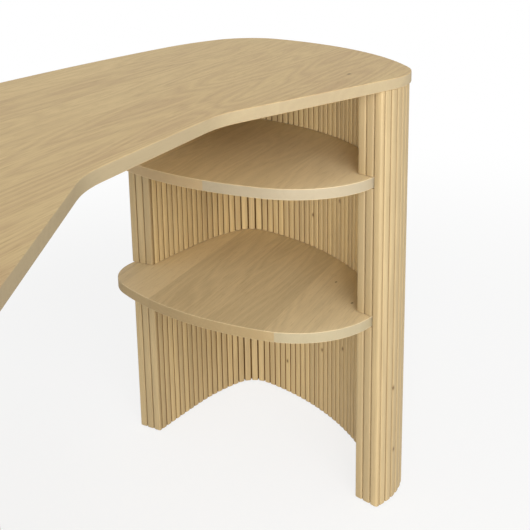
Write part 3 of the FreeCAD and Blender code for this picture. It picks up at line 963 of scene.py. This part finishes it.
@dataclass
class Studio:
    """Pale floor, soft lamps and the camera at the photograph's viewing angle.

    Attributes:
        camera_place: the lens, in metres.
        yaw: heading of the view, from X towards Y.
        pitch: how far it looks down.
        roll: its turn about the line of sight.
        focal_pixels: focal length in pixels of the photograph.
        shift_y: shift of the picture, by its side.
        floor_half: half the floor's side, in metres.
        floor_colour: its colour.
        floor_roughness: its roughness.
        floor_glow: share of plain white that a seeing ray gets from the floor near the desk.
        glow_start: distance from the desk's middle where that share starts to grow, in metres.
        glow_full: distance where the floor is plain white.
        sky_strength: light of the surround.
        lamp_aim: place that the lamps face.
        lamps: a large soft key behind the camera, and fills that reach in between the shelves. They stand
            far off, so that both pedestals get much the same light.
    """

    camera_place: tuple[float, float, float] = (-0.9699, -0.7085, 1.0243)
    yaw: float = math.radians(23.638)
    pitch: float = math.radians(14.458)
    roll: float = math.radians(0.927)
    focal_pixels: float = 972.2
    shift_y: float = -0.2
    floor_half: float = 12.0
    floor_colour: str = "FAFAF8"
    floor_roughness: float = 0.9
    floor_glow: float = 0.8
    glow_start: float = 1.3
    glow_full: float = 3.2
    sky_strength: float = 0.45
    lamp_aim: tuple[float, float, float] = (0.5, 0.0, 0.45)
    lamps: tuple[Lamp, ...] = (
        Lamp("key", (-8.66, -7.70, 5.95), side=6.0, power=655.0),
        Lamp("low_fill", (-12.22, -3.40, 1.55), side=3.0, power=680.0),
        Lamp("camera_fill", (-10.50, -5.28, 3.25), side=3.2, power=460.0),
        Lamp("side_fill", (-12.46, 2.28, 1.55), side=3.0, power=310.0),
        Lamp("front_fill", (-5.06, -11.94, 1.55), side=3.0, power=200.0),
    )

    def build(self) -> None:
        """Builds floor, lamps, world and camera."""
        self._floor()
        self._lamps()
        self._world()
        self._camera()

    def _floor(self) -> None:
        """Pale floor under the glides, which the camera sees nearly white and still shaded."""
        shape = bmesh.new()
        bmesh.ops.create_grid(shape, x_segments=1, y_segments=1, size=self.floor_half)
        mesh = bpy.data.meshes.new("floor")
        shape.to_mesh(mesh)
        shape.free()
        floor = bpy.data.objects.new("floor", mesh)
        bpy.context.scene.collection.objects.link(floor)
        # Matt paper scatters light evenly, so the floor has no mirror image of the desk
        material, tree, shader = start_material("matt_paper_floor")
        shader.inputs["Base Color"].default_value = linear(self.floor_colour)
        shader.inputs["Roughness"].default_value = self.floor_roughness
        # Far from the desk the floor runs out into plain white
        place = add_node(tree, "ShaderNodeTexCoord").outputs["Object"]
        away = add_node(tree, "ShaderNodeVectorMath", {"operation": "LENGTH"}, {0: place})
        share = add_node(
            tree, "ShaderNodeMapRange", {"interpolation_type": "SMOOTHSTEP"},
            {"Value": away.outputs["Value"], "From Min": self.glow_start, "From Max": self.glow_full,
             "To Min": self.floor_glow, "To Max": 1.0},
        )
        glow = add_node(
            tree, "ShaderNodeMath", {"operation": "MULTIPLY"},
            {0: self._seen(tree), 1: share.outputs["Result"]},
        )
        white = add_node(tree, "ShaderNodeEmission", inputs={"Color": grey(1.0), "Strength": 1.0})
        mix = add_node(
            tree, "ShaderNodeMixShader",
            inputs={0: glow.outputs[0], 1: shader.outputs["BSDF"], 2: white.outputs[0]},
        )
        output = next(node for node in tree.nodes if node.type == "OUTPUT_MATERIAL")
        tree.links.new(mix.outputs[0], output.inputs["Surface"])
        floor.data.materials.append(material)

    def _lamps(self) -> None:
        """Lamps that all face one place, unseen by the camera."""
        for lamp in self.lamps:
            light = bpy.data.lights.new(lamp.name, "AREA")
            light.energy = lamp.power
            light.size = lamp.side
            lamp_object = bpy.data.objects.new(lamp.name, light)
            lamp_object.location = lamp.place
            toward = Vector(self.lamp_aim) - Vector(lamp.place)
            lamp_object.rotation_euler = toward.to_track_quat("-Z", "Y").to_euler()
            lamp_object.visible_camera = False
            bpy.context.scene.collection.objects.link(lamp_object)

    @staticmethod
    def _seen(tree: Tree) -> Socket:
        """Tells the rays that see the surround, by camera, gloss or glass, from those that light the desk.

        Args:
            tree: the floor's or the world's node tree.

        Returns:
            One for a seeing ray, and nothing for the others.
        """
        path = add_node(tree, "ShaderNodeLightPath")
        seen = path.outputs["Is Camera Ray"]
        for kind in ("Is Glossy Ray", "Is Transmission Ray"):
            seen = add_node(
                tree, "ShaderNodeMath", {"operation": "MAXIMUM"}, {0: seen, 1: path.outputs[kind]},
            ).outputs[0]
        return seen

    def _world(self) -> None:
        """Even surround, white where the camera sees it."""
        world = bpy.data.worlds.new("surround")
        world.use_nodes = True
        tree = world.node_tree
        tree.nodes.clear()
        sky = add_node(
            tree, "ShaderNodeBackground", inputs={"Color": grey(1.0), "Strength": self.sky_strength},
        )
        white = add_node(tree, "ShaderNodeBackground", inputs={"Color": grey(1.0), "Strength": 1.0})
        mix = add_node(
            tree, "ShaderNodeMixShader",
            inputs={0: self._seen(tree), 1: sky.outputs[0], 2: white.outputs[0]},
        )
        add_node(tree, "ShaderNodeOutputWorld", inputs={"Surface": mix.outputs[0]})
        bpy.context.scene.world = world

    def _camera(self) -> None:
        """Camera fitted to the photograph."""
        data = bpy.data.cameras.new("camera")
        data.sensor_width = SENSOR_WIDTH
        data.lens = self.focal_pixels / IMAGE_SIDE * SENSOR_WIDTH
        data.shift_y = self.shift_y
        camera = bpy.data.objects.new("camera", data)
        bpy.context.scene.collection.objects.link(camera)
        forward = Vector((
            math.cos(self.yaw) * math.cos(self.pitch),
            math.sin(self.yaw) * math.cos(self.pitch),
            -math.sin(self.pitch),
        ))
        right = Vector((math.sin(self.yaw), -math.cos(self.yaw), 0))
        down = forward.cross(right)
        rolled_right = right * math.cos(self.roll) + down * math.sin(self.roll)
        rolled_down = down * math.cos(self.roll) - right * math.sin(self.roll)
        turn = Matrix((rolled_right, -rolled_down, -forward)).transposed()
        camera.matrix_world = Matrix.Translation(self.camera_place) @ turn.to_4x4()
        bpy.context.scene.camera = camera


def make_finishes() -> dict[str, bpy.types.Material]:
    """Makes every material.

    Returns:
        Materials by the record's slot, and some boards' own by the end of their node's name.
    """
    # Wide oak planks, planed and oiled: warm honey wood with long loops of grain
    top = OakBoard(
        "oiled_oak_board", Grain.LENGTHWISE, dark="CDAE80", middle="DBBF8B", pale="E5C994",
        fibre_weight=0.6, cloud_weight=0.42, ring_weight=0.28, pore_strength=0.24,
        knots=(Knot((515.2, -209.6, 762.0), reach=(10.0, 5.0, 6.0)),),
    )
    # Narrower planks under the top, with quieter grain: made paler and greyer than the top's wood as
    # painted light in the top's shade
    shelf = OakBoard(
        "oiled_oak_shelf", Grain.LENGTHWISE, dark="CFBB93", middle="E4CFA5", pale="EEDAB0",
        plank_mm=81.0, joint_mm=128.0, edge="998159", front_edge_shade="968C73", front_joint_mm=-133.0,
        fibre_weight=0.42, tone_weight=0.5, pore_strength=0.18,
        knots=(
            Knot((611.6, -154.5, 358.2), reach=(6.0, 3.0, 4.0)),
            Knot((529.2, -212.9, 358.2), reach=(6.0, 3.0, 4.0)),
        ),
    )
    # The same planks, made paler still as painted light under the top, with their own painted shade on the
    # sides
    upper_shelf = replace(
        shelf, name="oiled_oak_upper_shelf", dark="D7C39A", middle="E8D3A9", pale="F1DEB4",
        edge="A98F69", front_edge_shade="9B907C", front_joint_mm=-8.0, fibre_weight=0.34, knots=(),
    )
    # Slats sawn upright and rounded: fine straight fibres, and a tone that changes from slat to slat
    slat = OakSlat(
        "oiled_oak_slat", Grain.UPRIGHT, dark="B09B75", middle="C5AE83", pale="DFC692",
        fibre_mm=(210.0, 2.2), cloud_mm=(320.0, 26.0), ring_count=5.0,
        fibre_weight=0.5, cloud_weight=0.15, ring_weight=0.1, tone_weight=0.55,
        pore_mm=(60.0, 1.2), pore_strength=0.15,
        knots=tuple(
            Knot(middle, reach=(5.0, 5.0, 7.0)) for middle in (
                (517.5, -293.2, 217.2), (521.3, -294.2, 97.2), (759.0, -72.9, 142.4),
                (711.1, -133.7, 176.6), (812.9, 26.4, 75.1), (775.5, -47.9, 425.9),
                (721.6, -123.7, 478.8),
            )
        ),
    )
    plain = {
        # Peeled birch veneers: a broad, soft, dull mottle
        "plywood": PlainFinish(
            "birch_plywood", pale="CBB08A", dark="B39670", grit_mm=6.0, roughness=0.7,
        ),
        # Woven cotton soaked with glue, dull: a real backing, coloured dark brown as painted shade that
        # deepens the grooves in front of it
        "canvas": PlainFinish(
            "glued_cotton_canvas", pale="7A561F", dark="5E4014", grit_mm=1.5, roughness=0.9,
        ),
        # Turned beech without a finish: fine pinkish flecks
        "beech": PlainFinish(
            "bare_beech", pale="C9A37A", dark="B68E66", grit_mm=3.0, roughness=0.7,
        ),
        # Steel with a zinc coat: cold grey with a soft shine
        "steel": PlainFinish(
            "zinc_plated_steel", pale="B9BABC", dark="A4A6A8", grit_mm=2.0, roughness=0.35, metallic=1.0,
        ),
        # Moulded nylon: an even dark brown with a faint grain
        "nylon": PlainFinish(
            "moulded_nylon", pale="5A4C3E", dark="4E4236", grit_mm=1.0, roughness=0.5,
        ),
    }
    oaks = {"desktop": top, "upper_shelf": upper_shelf, "oak_board": shelf, "oak_slat": slat}
    return {slot: finish.make() for slot, finish in {**plain, **oaks}.items()}


def main() -> None:
    """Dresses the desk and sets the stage."""
    logging.basicConfig(level=logging.INFO)
    bpy.context.scene.view_settings.view_transform = "Standard"
    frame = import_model()
    nodes = frame["nodes"]
    slots = {part["node"]: part["material_slot"] for part in frame["record"]["subparts"]}
    finishes = make_finishes()
    top = Board("desktop", slots["desktop"])
    top.build(nodes["desktop"])
    top.dress(finishes[top.node])
    for side, seed in ((Side.RIGHT, 11), (Side.LEFT, 61)):
        pedestal = Pedestal(side, seed, slots)
        pedestal.build(nodes)
        pedestal.dress(nodes, finishes)
    Studio().build()


if __name__ == "__main__":
    main()
